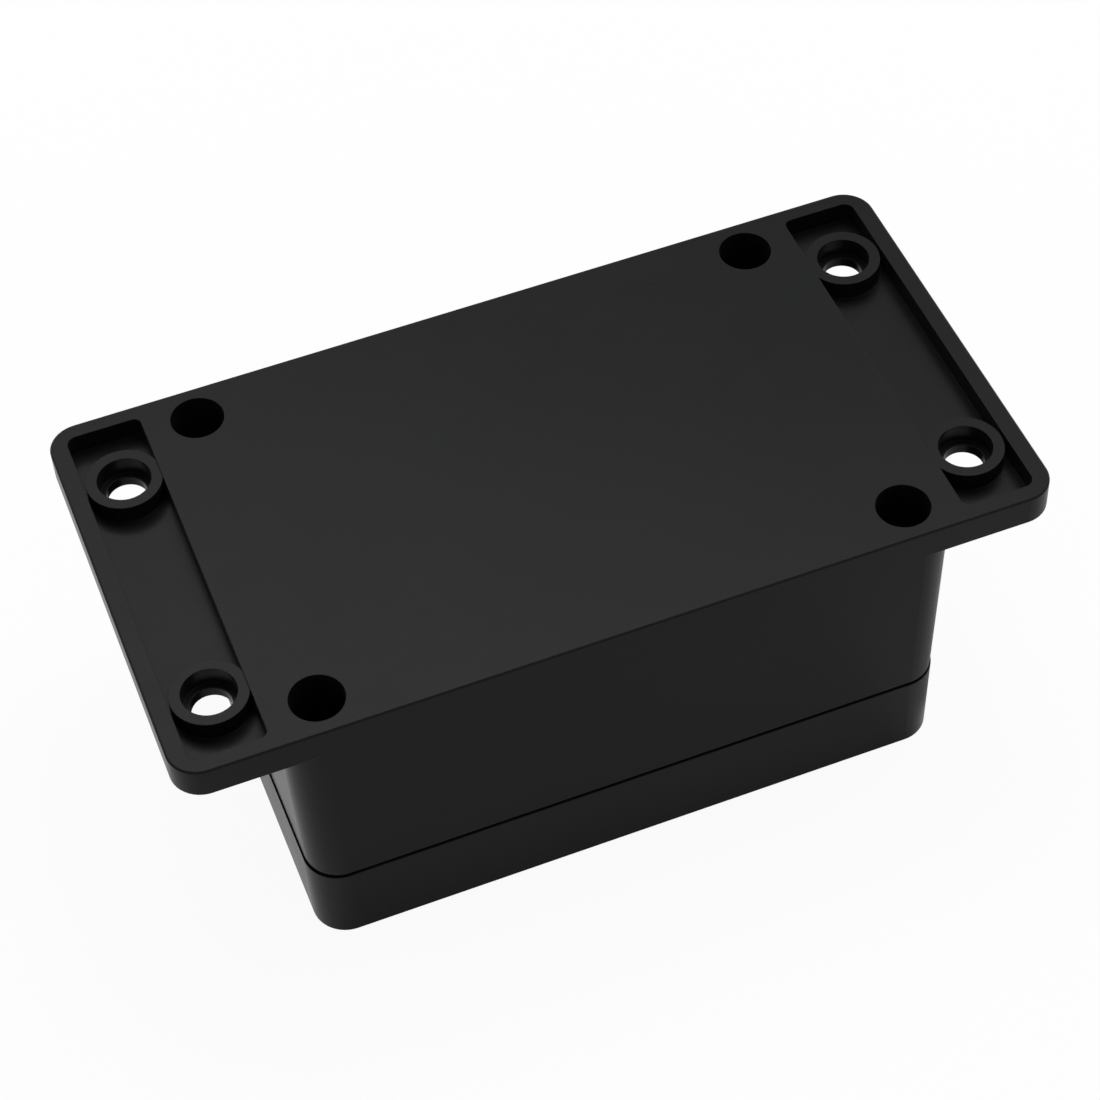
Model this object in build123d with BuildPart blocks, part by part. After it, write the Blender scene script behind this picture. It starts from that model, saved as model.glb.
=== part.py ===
from build123d import *
from math import atan, degrees, sqrt
import os

# Flanged plastic project box, standing on its lid with its mounting flange on top.
# Millimetres. The origin is the centre of the lid's outer face. +X runs along the box, and +Z
# points from the lid to the back face of the flange.

# Overall sizes
box_height = 49.5
body_length = 99.6
body_width = 68.0
body_corner = 5.4
end_wall_draft = 0.6
wall = 2.8
back_wall = 2.8

# Flange, as long as the body plus an ear at each end, and flush with the long walls
ear_reach = 16.2
flange_thickness = 5.0
flange_corner = 4.7
edge_chamfer = 0.25

# Lid, from its outer face at z = 0 to the parting plane
lid_depth = 14.8
lid_floor = 2.6
lid_draft = 0.2
lid_face_chamfer = 0.5
lid_face_angle = 45.0

# Shadow line round the parting plane
seam_gap = 0.5
seam_recess = 0.7

# Ear pockets, sunk in the flange's back face
pocket_width = 11.3
pocket_end_rim = 2.75
pocket_side_rim = 2.5
pocket_floor = 1.6
pocket_outer_corner = 1.6
pocket_inner_corner = 1.2

# Mounting holes, one in each ring boss
ear_hole_inset = 8.7
ear_hole_pitch = 42.0
ear_hole_radius = 3.0
ear_sink_radius = 4.0
ear_sink_floor = 1.6
ear_ring_radius = 5.65
ear_ring_drop = 0.35

# Corner posts, cored out from the back face and fitted with an insert at the lid's end
post_inset_x = 5.8
post_inset_y = 6.0
post_core_radius = 4.0
post_core_depth = 24.0
post_wall = 2.1
cavity_corner_cut = 1.2

# Tongue of the base, groove of the lid and the gasket between them
tongue_width = 1.5
tongue_height = 2.0
groove_clearance = 0.2
groove_rib = 1.2
gasket_height = 1.4
gasket_clearance = 0.1

# Lid screws with a cross recess
screw_radius = 2.0
screw_length = 12.0
screw_web = 4.8
screw_clearance = 0.2
head_radius = 3.5
head_height = 2.6
head_clearance = 0.4
cross_length = 3.8
cross_width = 0.9
cross_depth = 1.6

# Threaded inserts
insert_radius = 2.8
insert_length = 8.0
insert_thread_clearance = 0.05
insert_wall_clearance = 0.05
insert_hole_spare = 0.8

# Standoffs for a circuit board, on the inner side of the back wall
standoff_pitch_x = 72.0
standoff_pitch_y = 38.0
standoff_radius = 3.0
standoff_height = 5.0
pilot_radius = 1.2
pilot_depth = 4.0

# Places that follow from the sizes above
flange_length = body_length + 2 * ear_reach
flange_under = box_height - flange_thickness
skirt_edge = lid_depth + seam_gap
lid_side = lid_depth - lid_face_chamfer
cavity_ceiling = box_height - back_wall
cavity_half_x = body_length / 2 - wall
cavity_half_y = body_width / 2 - wall
post_x = body_length / 2 - post_inset_x
post_y = body_width / 2 - post_inset_y
post_radius = post_core_radius + post_wall
ear_hole_x = flange_length / 2 - ear_hole_inset
pocket_x = flange_length / 2 - pocket_end_rim - pocket_width / 2
pocket_length = body_width - 2 * pocket_side_rim
pocket_bottom = flange_under + pocket_floor
ear_sink_depth = flange_thickness - ear_sink_floor
groove_outer = tongue_width + groove_clearance
groove_inner = -groove_clearance
groove_floor = lid_depth - tongue_height - gasket_height
screw_seat = lid_depth - screw_web
insert_hole_radius = insert_radius + insert_wall_clearance

corners = {
    "front_left": (-post_x, -post_y),
    "front_right": (post_x, -post_y),
    "back_left": (-post_x, post_y),
    "back_right": (post_x, post_y),
}


def body_outline(inset):
    """Outline of the body at the parting plane, drawn in by inset."""
    with BuildSketch() as outline:
        RectangleRounded(body_length - 2 * inset, body_width - 2 * inset, body_corner - inset)
    return outline.sketch


def seal_outline(grow):
    """Outline of the cavity, notched round the corner posts, and grown outwards by grow."""
    notch = post_radius - grow
    # A cut across a square corner grows this much slower than its outline
    corner_cut = cavity_corner_cut + grow * (2 - sqrt(2))
    with BuildSketch() as outline:
        Rectangle(2 * (cavity_half_x + grow), 2 * (post_y - notch))
        Rectangle(2 * (post_x - notch), 2 * (cavity_half_y + grow))
        fillet(outline.vertices().group_by(SortBy.DISTANCE)[0], notch)
        for side in (Axis.X, Axis.Y):
            chamfer(outline.vertices().group_by(side)[0], corner_cut)
            chamfer(outline.vertices().group_by(side)[-1], corner_cut)
    return outline.sketch


def at_posts():
    return GridLocations(2 * post_x, 2 * post_y, 2, 2)


def at_ear_holes():
    return GridLocations(2 * ear_hole_x, ear_hole_pitch, 2, 2)


def at_standoffs():
    return GridLocations(standoff_pitch_x, standoff_pitch_y, 2, 2)


os.makedirs("parts", exist_ok=True)


# Base box: one moulding, its tapered body hung under the flange plate
with BuildPart() as base_box:
    with BuildSketch(Plane.XY.offset(skirt_edge)):
        add(body_outline(0))
    with BuildSketch(Plane.XY.offset(flange_under)):
        RectangleRounded(body_length + 2 * end_wall_draft, body_width, body_corner)
    loft(ruled=True)

    with BuildSketch(Plane.XY.offset(flange_under)):
        RectangleRounded(flange_length, body_width, flange_corner)
    extrude(amount=flange_thickness)
    chamfer(base_box.faces().sort_by(Axis.Z)[-1].edges(), edge_chamfer)

    # Rim land that meets the lid, set back behind the shadow line
    with BuildSketch(Plane.XY.offset(lid_depth)):
        add(body_outline(seam_recess))
    extrude(amount=seam_gap)

    # Cavity and the tongue round its mouth
    with BuildSketch(Plane.XY.offset(lid_depth)):
        add(seal_outline(0))
    extrude(amount=cavity_ceiling - lid_depth, mode=Mode.SUBTRACT)
    with BuildSketch(Plane.XY.offset(lid_depth)):
        add(seal_outline(tongue_width))
        add(seal_outline(0), mode=Mode.SUBTRACT)
    extrude(amount=-tongue_height)

    # Standoffs hang from the back wall, with a blind pilot hole in each
    with BuildSketch(Plane.XY.offset(cavity_ceiling)):
        with at_standoffs():
            Circle(standoff_radius)
    extrude(amount=-standoff_height)
    with BuildSketch(Plane.XY.offset(cavity_ceiling - standoff_height)):
        with at_standoffs():
            Circle(pilot_radius)
    extrude(amount=pilot_depth, mode=Mode.SUBTRACT)

    # Corner posts: a deep core from the back, and a hole for the insert from the lid's side
    with BuildSketch(Plane.XY.offset(box_height)):
        with at_posts():
            Circle(post_core_radius)
    extrude(amount=-post_core_depth, mode=Mode.SUBTRACT)
    with BuildSketch(Plane.XY.offset(lid_depth)):
        with at_posts():
            Circle(insert_hole_radius)
    extrude(amount=insert_length + insert_hole_spare, mode=Mode.SUBTRACT)

    # Ear pockets, and the ring bosses on their floors, sunk a little below the back face
    with BuildSketch(Plane.XY.offset(pocket_bottom)) as pockets:
        with GridLocations(2 * pocket_x, 0, 2, 1):
            Rectangle(pocket_width, pocket_length)
        fillet(pockets.vertices().group_by(lambda v: abs(v.X))[-1], pocket_outer_corner)
        fillet(pockets.vertices().group_by(lambda v: abs(v.X))[0], pocket_inner_corner)
    extrude(amount=flange_thickness, mode=Mode.SUBTRACT)
    with BuildSketch(Plane.XY.offset(pocket_bottom)):
        with at_ear_holes():
            Circle(ear_ring_radius)
    extrude(amount=box_height - ear_ring_drop - pocket_bottom)

    # Counterbored mounting holes through the ears
    with BuildSketch(Plane.XY.offset(box_height)):
        with at_ear_holes():
            Circle(ear_sink_radius)
    extrude(amount=-ear_sink_depth, mode=Mode.SUBTRACT)
    with BuildSketch(Plane.XY.offset(box_height)):
        with at_ear_holes():
            Circle(ear_hole_radius)
    extrude(amount=-flange_thickness, mode=Mode.SUBTRACT)

base_box.part.label = "base_box"
export_step(base_box.part, "parts/base_box.step")


# Lid: one moulding, with the gasket groove in its rim and a deep screw recess at each corner
with BuildPart() as lid:
    with BuildSketch(Plane.XY.offset(lid_depth)):
        add(body_outline(0))
    extrude(amount=-lid_side, taper=degrees(atan(lid_draft / lid_side)))
    with BuildSketch(Plane.XY.offset(lid_face_chamfer)):
        add(body_outline(lid_draft))
    extrude(amount=-lid_face_chamfer, taper=lid_face_angle)

    # Hollow inside the groove's inner rib, and the groove itself
    with BuildSketch(Plane.XY.offset(lid_depth)):
        add(seal_outline(groove_inner - groove_rib))
    extrude(amount=lid_floor - lid_depth, mode=Mode.SUBTRACT)
    with BuildSketch(Plane.XY.offset(lid_depth)):
        add(seal_outline(groove_outer))
        add(seal_outline(groove_inner), mode=Mode.SUBTRACT)
    extrude(amount=groove_floor - lid_depth, mode=Mode.SUBTRACT)

    # Screw recesses from the outer face, and the clearance holes beyond their seats
    with BuildSketch():
        with at_posts():
            Circle(head_radius + head_clearance)
    extrude(amount=screw_seat, mode=Mode.SUBTRACT)
    with BuildSketch():
        with at_posts():
            Circle(screw_radius + screw_clearance)
    extrude(amount=lid_depth, mode=Mode.SUBTRACT)

lid.part.label = "lid"
export_step(lid.part, "parts/lid.step")


# Gasket: one ring on the groove's floor, with the tongue resting on its flat top
with BuildPart() as gasket:
    with BuildSketch(Plane.XY.offset(groove_floor)):
        add(seal_outline(groove_outer - gasket_clearance))
        add(seal_outline(groove_inner + gasket_clearance), mode=Mode.SUBTRACT)
    extrude(amount=gasket_height)

gasket.part.label = "gasket"
export_step(gasket.part, "parts/gasket.step")


def build_screw(x, y):
    """Lid screw, its head towards the lid's outer face."""
    with BuildPart() as screw:
        with BuildSketch(Plane.XY.offset(screw_seat)):
            with Locations((x, y)):
                Circle(head_radius)
        extrude(amount=-head_height)
        with BuildSketch(Plane.XY.offset(screw_seat)):
            with Locations((x, y)):
                Circle(screw_radius)
        extrude(amount=screw_length)
        with BuildSketch(Plane.XY.offset(screw_seat - head_height)):
            with Locations((x, y)):
                Rectangle(cross_length, cross_width)
                Rectangle(cross_width, cross_length)
        extrude(amount=cross_depth, mode=Mode.SUBTRACT)
    return screw.part


def build_insert(x, y):
    """Brass insert, a bored ring flush with the post's end."""
    with BuildPart() as insert:
        with BuildSketch(Plane.XY.offset(lid_depth)):
            with Locations((x, y)):
                Circle(insert_radius)
                Circle(screw_radius + insert_thread_clearance, mode=Mode.SUBTRACT)
        extrude(amount=insert_length)
    return insert.part


for corner, (x, y) in corners.items():
    screw = build_screw(x, y)
    screw.label = f"lid_screw_{corner}"
    export_step(screw, f"parts/{screw.label}.step")
    insert = build_insert(x, y)
    insert.label = f"insert_{corner}"
    export_step(insert, f"parts/{insert.label}.step")
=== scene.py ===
import math

import bmesh
import bpy
from mathutils import Matrix, Vector


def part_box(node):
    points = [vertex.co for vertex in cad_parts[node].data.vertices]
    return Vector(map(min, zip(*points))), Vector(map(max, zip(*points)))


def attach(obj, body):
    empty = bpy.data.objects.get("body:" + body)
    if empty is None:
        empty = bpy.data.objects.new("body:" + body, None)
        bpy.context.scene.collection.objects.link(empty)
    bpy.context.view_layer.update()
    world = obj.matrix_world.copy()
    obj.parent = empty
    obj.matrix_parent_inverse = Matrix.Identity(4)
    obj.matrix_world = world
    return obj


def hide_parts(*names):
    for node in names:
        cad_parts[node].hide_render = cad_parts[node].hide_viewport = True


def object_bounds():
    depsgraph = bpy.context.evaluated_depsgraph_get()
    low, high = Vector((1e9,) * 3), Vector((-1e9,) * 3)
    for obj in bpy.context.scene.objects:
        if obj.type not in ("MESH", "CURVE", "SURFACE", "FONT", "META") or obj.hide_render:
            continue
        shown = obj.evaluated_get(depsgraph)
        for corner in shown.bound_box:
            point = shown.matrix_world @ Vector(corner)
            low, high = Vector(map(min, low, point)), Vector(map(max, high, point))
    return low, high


# Looks of the flanged project box, in metres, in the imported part's own frame. The box stands on its
# lid, with the mounting flange on top.

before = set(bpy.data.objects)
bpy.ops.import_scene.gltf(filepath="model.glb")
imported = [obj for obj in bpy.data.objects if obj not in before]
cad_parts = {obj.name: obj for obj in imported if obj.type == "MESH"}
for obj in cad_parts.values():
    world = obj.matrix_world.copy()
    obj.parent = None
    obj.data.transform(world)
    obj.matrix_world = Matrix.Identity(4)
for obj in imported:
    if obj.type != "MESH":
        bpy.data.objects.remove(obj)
cad_low, cad_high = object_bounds()

MM = 0.001
CORNERS = ("front_left", "front_right", "back_left", "back_right")


# Nodes, meshes and objects


def add_node(tree, kind, inputs=None, **settings):
    """Adds a node with its own settings. Inputs, by name or number, take values or join sockets."""
    node = tree.nodes.new(kind)
    for key, value in settings.items():
        setattr(node, key, value)
    for key, value in (inputs or {}).items():
        if isinstance(value, bpy.types.NodeSocket):
            tree.links.new(value, node.inputs[key])
        else:
            node.inputs[key].default_value = value
    return node


def maths(tree, operation, *values):
    """Result of a math node on numbers or sockets."""
    return add_node(tree, "ShaderNodeMath", dict(enumerate(values)), operation=operation).outputs[0]


def vector_measure(tree, operation, *vectors):
    """Number that a vector math node makes of its vectors."""
    node = add_node(tree, "ShaderNodeVectorMath", dict(enumerate(vectors)), operation=operation)
    return node.outputs["Value"]


def spread(tree, value, low=0.0, high=1.0, from_low=0.3, from_high=0.7):
    """Maps a value from one range onto another, and holds it there. Noise mostly lies in the first
    range that is given here."""
    inputs = {"Value": value, "From Min": from_low, "From Max": from_high, "To Min": low, "To Max": high}
    return add_node(tree, "ShaderNodeMapRange", inputs, clamp=True).outputs["Result"]


def mixed_number(tree, factor, first, second):
    return add_node(tree, "ShaderNodeMix", {0: factor, 2: first, 3: second}, data_type="FLOAT").outputs[0]


def mixed_colour(tree, factor, first, second):
    return add_node(tree, "ShaderNodeMix", {0: factor, 6: first, 7: second}, data_type="RGBA").outputs[2]


def mixed_shader(tree, factor, first, second):
    return add_node(tree, "ShaderNodeMixShader", {0: factor, 1: first, 2: second}).outputs[0]


def object_place(tree):
    """The object's own coordinates."""
    return add_node(tree, "ShaderNodeTexCoord").outputs["Object"]


def noise_at(tree, place, scale, detail, roughness=0.5):
    inputs = {"Vector": place, "Scale": scale, "Detail": detail, "Roughness": roughness}
    return add_node(tree, "ShaderNodeTexNoise", inputs).outputs["Fac"]


def bumped(tree, height, strength, depth, **normal):
    """Normal of a surface roughened by a height."""
    inputs = {"Height": height, "Strength": strength, "Distance": depth, **normal}
    return add_node(tree, "ShaderNodeBump", inputs).outputs["Normal"]


def new_material(name):
    """Empty node material, with its tree and the socket for its surface."""
    material = bpy.data.materials.new(name)
    material.use_nodes = True
    tree = material.node_tree
    tree.nodes.clear()
    return material, tree, tree.nodes.new("ShaderNodeOutputMaterial").inputs["Surface"]


def principled_material(name, build_inputs):
    """Material with one principled shader, whose inputs are built in the material's tree."""
    material, tree, surface = new_material(name)
    shader = add_node(tree, "ShaderNodeBsdfPrincipled", build_inputs(tree))
    tree.links.new(shader.outputs[0], surface)
    return material


def mesh_data(name, mesh):
    """Turns a bmesh into mesh data and frees it."""
    data = bpy.data.meshes.new(name)
    mesh.to_mesh(data)
    mesh.free()
    return data


def add_object(name, data):
    """Object in the scene."""
    thing = bpy.data.objects.new(name, data)
    bpy.context.scene.collection.objects.link(thing)
    return thing


# Materials

PLASTIC_DARK = (0.0058, 0.0063, 0.0061, 1.0)
PLASTIC_LIGHT = (0.0070, 0.0075, 0.0073, 1.0)
# Lighter colour painted along every edge as a highlight
PLASTIC_EDGE_HIGHLIGHT = (0.016, 0.017, 0.0165, 1.0)
RUBBER_DARK = (0.042, 0.042, 0.043, 1.0)
RUBBER_LIGHT = (0.065, 0.065, 0.065, 1.0)
STEEL_DARK = (0.52, 0.52, 0.51, 1.0)
STEEL_LIGHT = (0.66, 0.66, 0.65, 1.0)
BRASS_DARK = (0.62, 0.45, 0.18, 1.0)
BRASS_LIGHT = (0.78, 0.6, 0.28, 1.0)
SOFT_EDGE_RADIUS = 0.18 * MM
# Scale of the noise along each axis that makes a turned metal's tool lines
TOOL_LINES = (300.0, 300.0, 16000.0)


def plastic_inputs(tree):
    """Shader inputs of black moulded plastic: satin, with grain, faint flow marks, soft edges and a
    highlight painted lighter along every edge.
    """
    soft_edge = add_node(tree, "ShaderNodeBevel", {"Radius": SOFT_EDGE_RADIUS}, samples=4).outputs["Normal"]
    flat = add_node(tree, "ShaderNodeNewGeometry").outputs["Normal"]
    likeness = vector_measure(tree, "DOT_PRODUCT", soft_edge, flat)
    # Painted highlight: the colour turns lighter wherever the softened normal leaves the flat one, at every
    # edge
    edge_highlight = spread(tree, likeness, low=1.0, high=0.0, from_low=0.9, from_high=1.0)
    place = object_place(tree)
    flow = noise_at(tree, place, scale=35.0, detail=3.0)
    body = mixed_colour(tree, spread(tree, flow), PLASTIC_DARK, PLASTIC_LIGHT)
    patch = noise_at(tree, place, scale=140.0, detail=2.0)
    grain = noise_at(tree, place, scale=2600.0, detail=3.0, roughness=0.6)
    satin = spread(tree, patch, low=0.28, high=0.31)
    unevenness = spread(tree, grain, low=-0.02, high=0.02)
    return {
        "IOR": 1.45,
        "Specular IOR Level": 0.081,
        "Base Color": mixed_colour(tree, edge_highlight, body, PLASTIC_EDGE_HIGHLIGHT),
        "Roughness": maths(tree, "ADD", satin, unevenness),
        "Normal": bumped(tree, grain, strength=0.25, depth=0.02 * MM, Normal=soft_edge),
    }


def rubber_inputs(tree):
    """Shader inputs of matt gasket rubber with a dusty, slightly uneven skin."""
    place = object_place(tree)
    dust = noise_at(tree, place, scale=420.0, detail=4.0, roughness=0.6)
    skin = noise_at(tree, place, scale=1800.0, detail=3.0)
    return {
        "IOR": 1.5,
        "Specular IOR Level": 0.3,
        "Base Color": mixed_colour(tree, spread(tree, dust), RUBBER_DARK, RUBBER_LIGHT),
        "Roughness": spread(tree, dust, low=0.62, high=0.78),
        "Normal": bumped(tree, skin, strength=0.3, depth=0.03 * MM),
    }


def metal_inputs(tree, dark, light, smooth, rough):
    """Shader inputs of turned metal: fine tool lines round z and small changes of tone."""
    place = object_place(tree)
    tone = noise_at(tree, place, scale=700.0, detail=3.0)
    stretched = add_node(tree, "ShaderNodeMapping", {"Vector": place, "Scale": TOOL_LINES})
    lines = noise_at(tree, stretched.outputs["Vector"], scale=1.0, detail=2.0)
    return {
        "Metallic": 1.0,
        "Base Color": mixed_colour(tree, spread(tree, tone), dark, light),
        "Roughness": spread(tree, tone, smooth, rough),
        "Normal": bumped(tree, lines, strength=0.2, depth=0.01 * MM),
    }


def steel_inputs(tree):
    return metal_inputs(tree, STEEL_DARK, STEEL_LIGHT, smooth=0.24, rough=0.34)


def brass_inputs(tree):
    return metal_inputs(tree, BRASS_DARK, BRASS_LIGHT, smooth=0.22, rough=0.34)


plastic = principled_material("black_plastic_look", plastic_inputs)
rubber = principled_material("gasket_rubber_look", rubber_inputs)
steel = principled_material("screw_steel_look", steel_inputs)
brass = principled_material("insert_brass_look", brass_inputs)

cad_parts["gasket"].material_slots[0].material = rubber


# Mouldings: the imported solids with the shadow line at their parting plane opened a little

# Parting plane, skirt edge and body, as in part.py
LID_DEPTH = 14.8 * MM
SKIRT_EDGE = 15.3 * MM
BODY_HALF = Vector((49.8, 34.0)) * MM
BODY_CORNER = 5.4 * MM
NEAR = 0.02 * MM
# How far the base's ends stand back above the lid, and how far the lid's rim edge is lowered
END_SETBACK = 0.22 * MM
RIM_DROP = 0.3 * MM


def on_body_outline(place):
    """Whether a point, seen from above, lies on the body's outer outline."""
    beyond = [max(abs(place[i]) - (BODY_HALF[i] - BODY_CORNER), 0.0) for i in (0, 1)]
    return abs(math.hypot(*beyond) - BODY_CORNER) < NEAR


def set_back_end(place):
    """Draws the base's skirt edge in towards the middle at both ends."""
    straight = BODY_HALF.x - BODY_CORNER
    if abs(place.z - SKIRT_EDGE) < NEAR and abs(place.x) > straight and on_body_outline(place):
        inward = END_SETBACK * (abs(place.x) - straight) / BODY_CORNER
        place.x -= math.copysign(inward, place.x)


def lower_rim(place):
    """Lowers the outer edge of the lid's rim."""
    if abs(place.z - LID_DEPTH) < NEAR and on_body_outline(place):
        place.z -= RIM_DROP


for node_name, body, move in (("base_box", "base", set_back_end), ("lid", "lid", lower_rim)):
    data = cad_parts[node_name].data.copy()
    data.name = node_name + "_detailed"
    for vertex in data.vertices:
        move(vertex.co)
    data.materials.clear()
    data.materials.append(plastic)
    piece = add_object(data.name, data)
    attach(piece, body)
    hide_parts(node_name)


# Screws and inserts

COLUMNS = 64
PITCH = 0.7 * MM
SPARE_TURNS = 2
# The middle of a capped end is a ring of this radius
MIDDLE = 0.02 * MM
# Points nearer than these are one point, in a new mesh and in one that was cut
WELD = 0.0002 * MM
CUT_WELD = 0.001 * MM
SHORTEST_EDGE = 0.0001 * MM

# Screw, as in part.py: seat of the head, ends and radii
SEAT = 10.0 * MM
HEAD_TOP = 7.4 * MM
SCREW_END = 22.0 * MM
HEAD_RADIUS = 3.5 * MM
SCREW_RADIUS = 2.0 * MM
# Head, neck, thread and tip in detail, as radius and height
NECK = (1.7 * MM, SEAT + 0.25 * MM)
HEAD_PROFILE = (
    (MIDDLE, HEAD_TOP),
    (2.2 * MM, HEAD_TOP + 0.02 * MM),
    (2.75 * MM, HEAD_TOP + 0.14 * MM),
    (3.15 * MM, HEAD_TOP + 0.38 * MM),
    (3.4 * MM, HEAD_TOP + 0.75 * MM),
    (HEAD_RADIUS, HEAD_TOP + 1.2 * MM),
    (HEAD_RADIUS, SEAT - 0.15 * MM),
    (HEAD_RADIUS - 0.15 * MM, SEAT),
    (1.95 * MM, SEAT),
    NECK,
)
TIP_PROFILE = ((1.25 * MM, SCREW_END), (MIDDLE, SCREW_END))
SCREW_ROOT = 1.6 * MM
SCREW_THREAD = (SEAT + 0.6 * MM, SCREW_END - 0.5 * MM)
SCREW_SHARP_ANGLE = 35
# Blades of the cross recess: height, half length and half width at both ends, and their turns
BLADE_LEVELS = (
    (HEAD_TOP - 0.3 * MM, 2.1 * MM, 0.47 * MM),
    (HEAD_TOP + 1.7 * MM, 1.0 * MM, 0.36 * MM),
)
BLADE_TURNS = (0.25 * math.pi, 0.75 * math.pi)

# Insert, as in part.py
INSERT_START = 14.8 * MM
INSERT_END = 22.8 * MM
INSERT_RADIUS = 2.8 * MM
BORE_RADIUS = 2.05 * MM
# Insert in detail: plain parts, groove, knurled bands and thread
PLAIN_RADIUS = 2.5 * MM
GROOVE_RADIUS = 2.45 * MM
GROOVE_HEIGHTS = (2.55 * MM, 3.25 * MM)
PILOT_HEIGHT = 5.8 * MM
PILOT_EDGE = 0.2 * MM
PILOT_EDGE_RADIUS = 2.4 * MM
MOUTH_RADII = (2.36 * MM, 2.33 * MM)
KNURL_DEPTH = 0.22 * MM
KNURL_LEAN = 0.16
KNURL_HEIGHTS = ((0.2 * MM, 1.3 * MM, 2.4 * MM), (3.4 * MM, 4.5 * MM, 5.6 * MM))
BORE_ROOT = 2.3 * MM
BORE_CHAMFER = 0.25 * MM
INSERT_SHARP_ANGLE = 30


def plain_ring(radius, z, twist=0.0):
    """Ring of (angle, radius, z) points."""
    return [(2 * math.pi * i / COLUMNS + twist, radius, z) for i in range(COLUMNS)]


def knurled_ring(z, twist):
    """Ring whose radius goes up and down from column to column, turned by twist."""
    return [
        (angle, radius - KNURL_DEPTH * (i % 2), z)
        for i, (angle, radius, z) in enumerate(plain_ring(INSERT_RADIUS, z, twist))
    ]


def radius_on(line, z):
    """Radius at a height on a line of (z, radius) points."""
    for (z0, r0), (z1, r1) in zip(line, line[1:]):
        if z0 <= z <= z1:
            return r0 + (r1 - r0) * (z - z0) / (z1 - z0)


def thread_rings(root, crest, low, high):
    """Rings that climb along a helix and are cut off flat at the heights low and high, and the
    number of rings to a turn."""
    # Height as a share of the pitch, and radius, of the four corners of one thread
    shape = ((0.0, root), (0.25, root), (0.5625, crest), (0.6875, crest))
    turns = math.ceil((high - low) / PITCH) + 2 * SPARE_TURNS
    start = low - SPARE_TURNS * PITCH
    columns = []
    for i in range(COLUMNS):
        line = [
            (start + PITCH * (turn + part + i / COLUMNS), radius)
            for turn in range(turns)
            for part, radius in shape
        ]
        first, last = (low, radius_on(line, low)), (high, radius_on(line, high))
        columns.append([first if z < low else last if z > high else (z, radius) for z, radius in line])
    rings = [
        [(2 * math.pi * i / COLUMNS, radius, z) for i, (z, radius) in enumerate(row)]
        for row in zip(*columns)
    ]
    return rings, len(shape)


def add_ring(mesh, x, y, ring):
    return [mesh.verts.new((x + r * math.cos(a), y + r * math.sin(a), z)) for a, r, z in ring]


def add_rings(mesh, x, y, rings, shift=0):
    """Joins rings with quads. On a helix the last column meets the first one shift rows further on."""
    rows = [add_ring(mesh, x, y, ring) for ring in rings]
    last = len(rows) - 1
    for row in range(last):
        for i in range(COLUMNS):
            k, up = (i + 1, 0) if i + 1 < COLUMNS else (0, shift)
            quad = (
                rows[row][i],
                rows[min(row + up, last)][k],
                rows[min(row + 1 + up, last)][k],
                rows[row + 1][i],
            )
            corners = list(dict.fromkeys(quad))
            if len(corners) > 2:
                mesh.faces.new(corners)


def finish_mesh(name, mesh, angle):
    """Welds the rings, turns the faces outwards and keeps edges sharper than angle sharp."""
    bmesh.ops.remove_doubles(mesh, verts=mesh.verts[:], dist=WELD)
    bmesh.ops.dissolve_degenerate(mesh, edges=mesh.edges[:], dist=SHORTEST_EDGE)
    bmesh.ops.recalc_face_normals(mesh, faces=mesh.faces[:])
    data = mesh_data(name, mesh)
    data.shade_smooth()
    data.set_sharp_from_angle(angle=math.radians(angle))
    return add_object(name, data)


def blade_cutter(x, y, angle):
    """One tapered blade of the cross recess, reaching out below the head."""
    mesh = bmesh.new()
    turn = Matrix.Rotation(angle, 4, "Z")
    signs = ((-1, -1), (1, -1), (1, 1), (-1, 1))
    outer, inner = [
        [mesh.verts.new(Vector((x, y, 0)) + turn @ Vector((sx * half, sy * wide, z))) for sx, sy in signs]
        for z, half, wide in BLADE_LEVELS
    ]
    for i in range(len(signs)):
        k = (i + 1) % len(signs)
        mesh.faces.new((outer[i], outer[k], inner[k], inner[i]))
    mesh.faces.new(outer[::-1])
    mesh.faces.new(inner)
    bmesh.ops.recalc_face_normals(mesh, faces=mesh.faces[:])
    return add_object("cutter", mesh_data("cutter", mesh))


def cut_away(piece, cutter):
    """Subtracts the cutter from the piece's own mesh."""
    step = piece.modifiers.new("cut", "BOOLEAN")
    step.operation, step.solver, step.object = "DIFFERENCE", "EXACT", cutter
    graph = bpy.context.evaluated_depsgraph_get()
    data = bpy.data.meshes.new_from_object(piece.evaluated_get(graph))
    piece.modifiers.clear()
    piece.data = data
    bpy.data.objects.remove(cutter)


def build_screw(name, x, y):
    """Pan head screw with a cross recess and a rolled thread, its head towards the lid's face."""
    mesh = bmesh.new()
    thread, shift = thread_rings(SCREW_ROOT, SCREW_RADIUS, *SCREW_THREAD)
    add_rings(mesh, x, y, [plain_ring(*point) for point in HEAD_PROFILE])
    add_rings(mesh, x, y, [plain_ring(*NECK), thread[0]])
    add_rings(mesh, x, y, thread, shift)
    add_rings(mesh, x, y, [thread[-1], *[plain_ring(*point) for point in TIP_PROFILE]])
    for point in (HEAD_PROFILE[0], TIP_PROFILE[-1]):
        mesh.faces.new(add_ring(mesh, x, y, plain_ring(*point)))
    piece = finish_mesh(name, mesh, SCREW_SHARP_ANGLE)
    for turn in BLADE_TURNS:
        cut_away(piece, blade_cutter(x, y, turn))
    mesh = bmesh.new()
    mesh.from_mesh(piece.data)
    bmesh.ops.remove_doubles(mesh, verts=mesh.verts[:], dist=CUT_WELD)
    mesh.to_mesh(piece.data)
    mesh.free()
    piece.data.name = name
    piece.data.set_sharp_from_angle(angle=math.radians(SCREW_SHARP_ANGLE))
    return piece


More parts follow.
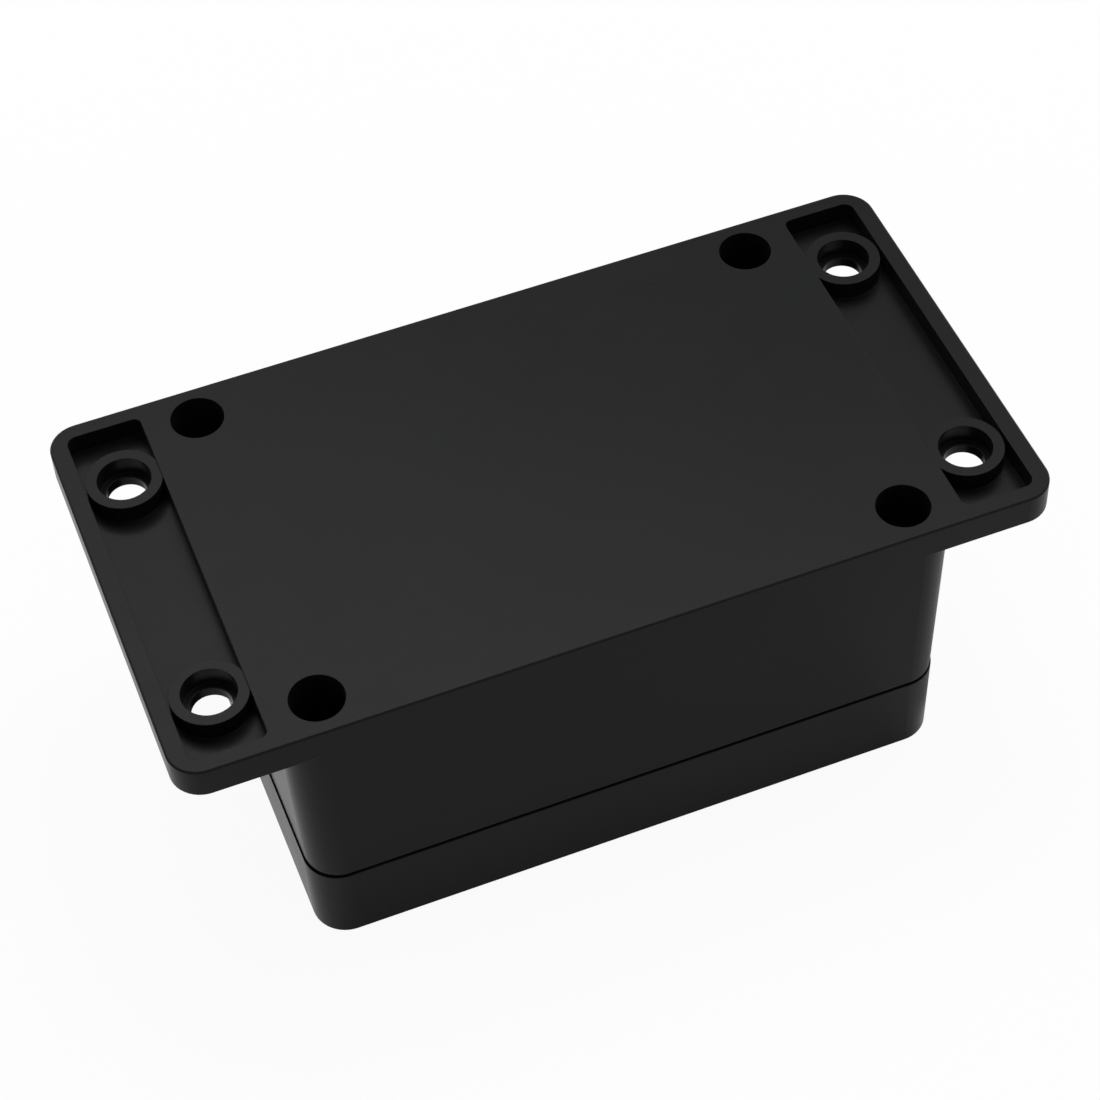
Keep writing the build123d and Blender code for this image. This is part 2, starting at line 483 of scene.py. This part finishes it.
def build_insert(name, x, y):
    """Brass insert with two bands of slanted knurling, a groove, a plain pilot and a thread."""
    mesh = bmesh.new()
    start, end = INSERT_START, INSERT_END
    leans = (0.0, KNURL_LEAN / 2, KNURL_LEAN)
    lower, upper = KNURL_HEIGHTS
    outside = [
        plain_ring(PLAIN_RADIUS, start),
        *[knurled_ring(start + z, lean) for z, lean in zip(lower, leans)],
        *[plain_ring(GROOVE_RADIUS, start + z, KNURL_LEAN) for z in GROOVE_HEIGHTS],
        *[knurled_ring(start + z, lean) for z, lean in zip(upper, leans[::-1])],
        plain_ring(PLAIN_RADIUS, start + PILOT_HEIGHT),
        plain_ring(PLAIN_RADIUS, end - PILOT_EDGE),
        plain_ring(PILOT_EDGE_RADIUS, end),
    ]
    thread, shift = thread_rings(BORE_ROOT, BORE_RADIUS, start + BORE_CHAMFER, end - BORE_CHAMFER)
    start_mouth, end_mouth = MOUTH_RADII
    add_rings(mesh, x, y, outside)
    add_rings(mesh, x, y, [outside[-1], plain_ring(end_mouth, end), thread[-1]])
    add_rings(mesh, x, y, thread, shift)
    add_rings(mesh, x, y, [thread[0], plain_ring(start_mouth, start), outside[0]])
    return finish_mesh(name, mesh, INSERT_SHARP_ANGLE)


for corner in CORNERS:
    for kind, build, material, slot, body in (
        ("lid_screw", build_screw, steel, "screw_steel", "screw_" + corner),
        ("insert", build_insert, brass, "insert_brass", "base"),
    ):
        node = kind + "_" + corner
        node_low, node_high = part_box(node)
        centre = (node_low + node_high) / 2
        piece = build(node + "_detailed", centre.x, centre.y)
        piece.data.materials.clear()
        piece.data.materials.append(material)
        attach(piece, body)
        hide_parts(node)


# Floor and surround

FLOOR_SIZE = 3.0
FLOOR_GAP = 0.02 * MM
WHITE = (1.0, 1.0, 1.0, 1.0)
PAPER = (0.9, 0.9, 0.9, 1.0)
# Share of plain white that the camera sees on the floor under the object, and where it starts and
# stops growing to 1. The rest is the floor's own shading, and so the shadow.
NEAR_WHITE = 0.94
WHITE_GROWTH = (80 * MM, 300 * MM)
# Share of that white in reflections: at the foot of the long walls, a little before them, what is
# added further off, beyond the ends, and on the strip beside the right end. Every share below 1 is
# painted shade on the floor that shows only in reflections. It is deepest at the foot of the long
# walls and on the strip, so the walls darken towards their foot.
FOOT_SHARE, WALL_SHARE, FAR_SHARE = 0.34, 0.52, 0.1
END_SHARE, STRIP_SHARE = 0.8, 0.0
# Distances from the middle over which one share gives way to the next
WALL_END = (43 * MM, 49 * MM)
WALL_FOOT = (34 * MM, 43 * MM)
FAR_FLOOR = (49 * MM, 64 * MM)
STRIP_SIDE = (50 * MM, 54 * MM)
STRIP_FRONT = (-40 * MM, -32 * MM)
# Strength of the surround as light on the object
FILL = 0.3


def mirror_share_painted_shade(tree, place):
    """Share of white in reflections, over the floor, with painted shade: lowest at the foot of the long
    walls and on a strip beside the right end, so that the walls darken towards their foot.
    """
    split = add_node(tree, "ShaderNodeSeparateXYZ", {0: place})
    along = maths(tree, "ABSOLUTE", split.outputs["X"])
    across = maths(tree, "ABSOLUTE", split.outputs["Y"])
    before_wall = spread(tree, along, 1.0, 0.0, *WALL_END)
    near_wall = spread(tree, across, FOOT_SHARE, WALL_SHARE, *WALL_FOOT)
    off_wall = spread(tree, across, 0.0, FAR_SHARE, *FAR_FLOOR)
    share = mixed_number(tree, before_wall, END_SHARE, maths(tree, "ADD", near_wall, off_wall))
    # Painted shade: a strip beside the right end where reflections see none of the white
    beside_end = spread(tree, split.outputs["X"], 0.0, 1.0, *STRIP_SIDE)
    behind_front = spread(tree, split.outputs["Y"], 0.0, 1.0, *STRIP_FRONT)
    return mixed_number(tree, maths(tree, "MULTIPLY", beside_end, behind_front), share, STRIP_SHARE)


def shown(tree, path, mirrored):
    """How far a ray is one that shows the white: the camera's, a mirrored or a refracted one."""
    seen = maths(tree, "MAXIMUM", path.outputs["Is Camera Ray"], mirrored)
    return maths(tree, "MAXIMUM", seen, path.outputs["Is Transmission Ray"])


def floor_material():
    """Paper that is white in the picture, keeps the shadow and is clear from below."""
    material, tree, surface = new_material("white_floor")
    paper = add_node(tree, "ShaderNodeBsdfDiffuse", {"Color": PAPER}).outputs[0]
    glow = add_node(tree, "ShaderNodeEmission", {"Color": WHITE, "Strength": 1.0}).outputs[0]
    clear = add_node(tree, "ShaderNodeBsdfTransparent").outputs[0]
    path = add_node(tree, "ShaderNodeLightPath")
    below = add_node(tree, "ShaderNodeNewGeometry").outputs["Backfacing"]
    place = object_place(tree)
    distance = vector_measure(tree, "LENGTH", place)
    white = spread(tree, distance, NEAR_WHITE, 1.0, *WHITE_GROWTH)
    # Glossy rays see the white with shade painted in, deepest near the foot of the walls
    mirrored = maths(tree, "MULTIPLY", path.outputs["Is Glossy Ray"], mirror_share_painted_shade(tree, place))
    share = maths(tree, "MULTIPLY", shown(tree, path, mirrored), white)
    lit = mixed_shader(tree, share, paper, glow)
    tree.links.new(mixed_shader(tree, below, lit, clear), surface)
    return material


floor_mesh = bmesh.new()
bmesh.ops.create_grid(floor_mesh, x_segments=2, y_segments=2, size=FLOOR_SIZE)
floor = add_object("floor", mesh_data("floor", floor_mesh))
floor.location.z = cad_low.z - FLOOR_GAP
floor.data.materials.append(floor_material())

world = bpy.data.worlds.new("studio")
bpy.context.scene.world = world
world.use_nodes = True
tree = world.node_tree
tree.nodes.clear()
out = tree.nodes.new("ShaderNodeOutputWorld")
white = add_node(tree, "ShaderNodeBackground", {"Color": WHITE, "Strength": 1.0}).outputs[0]
fill = add_node(tree, "ShaderNodeBackground", {"Color": WHITE, "Strength": FILL}).outputs[0]
path = add_node(tree, "ShaderNodeLightPath")
seen = shown(tree, path, path.outputs["Is Glossy Ray"])
tree.links.new(mixed_shader(tree, seen, fill, white), out.inputs["Surface"])


# Lamp and camera

LAMP_AIM = Vector((0, 0, 0.03))


def softbox(name, azimuth, elevation, distance, width, height, radiance):
    """Rectangular lamp aimed at the object. Azimuth 0 is behind the object, towards +Y."""
    lamp = bpy.data.lights.new(name, "AREA")
    lamp.shape = "RECTANGLE"
    lamp.size, lamp.size_y = width, height
    lamp.energy = radiance * math.pi * width * height
    a, e = math.radians(azimuth), math.radians(elevation)
    way = Vector((math.sin(a) * math.cos(e), math.cos(a) * math.cos(e), math.sin(e)))
    holder = add_object(name, lamp)
    holder.location = LAMP_AIM + way * distance
    holder.rotation_mode = "QUATERNION"
    holder.rotation_quaternion = way.to_track_quat("Z", "Y")


softbox("back_softbox", azimuth=35.0, elevation=66.5, distance=1.1, width=1.2, height=0.62, radiance=4.3)

# Camera fitted to the flange and the holes in the photograph
EYE = Vector((-92.471, -272.732, 374.394)) * MM
TARGET = Vector((1.399, 3.592, 24.75)) * MM
ROLL = math.radians(3.2411)
SENSOR_WIDTH, FOCAL_LENGTH = 36.0, 98.0715
camera = bpy.data.cameras.new("photo_camera")
camera.sensor_width = SENSOR_WIDTH
camera.lens = FOCAL_LENGTH
camera.clip_start, camera.clip_end = 0.01, 20.0
holder = add_object("photo_camera", camera)
forward = (TARGET - EYE).normalized()
level = forward.cross(Vector((0, 0, 1))).normalized()
upright = level.cross(forward)
right = math.cos(ROLL) * level - math.sin(ROLL) * upright
up = math.sin(ROLL) * level + math.cos(ROLL) * upright
turn = Matrix((right, up, -forward)).transposed().to_4x4()
holder.matrix_world = Matrix.Translation(EYE) @ turn
bpy.context.scene.camera = holder
bpy.context.scene.view_settings.view_transform = "Standard"
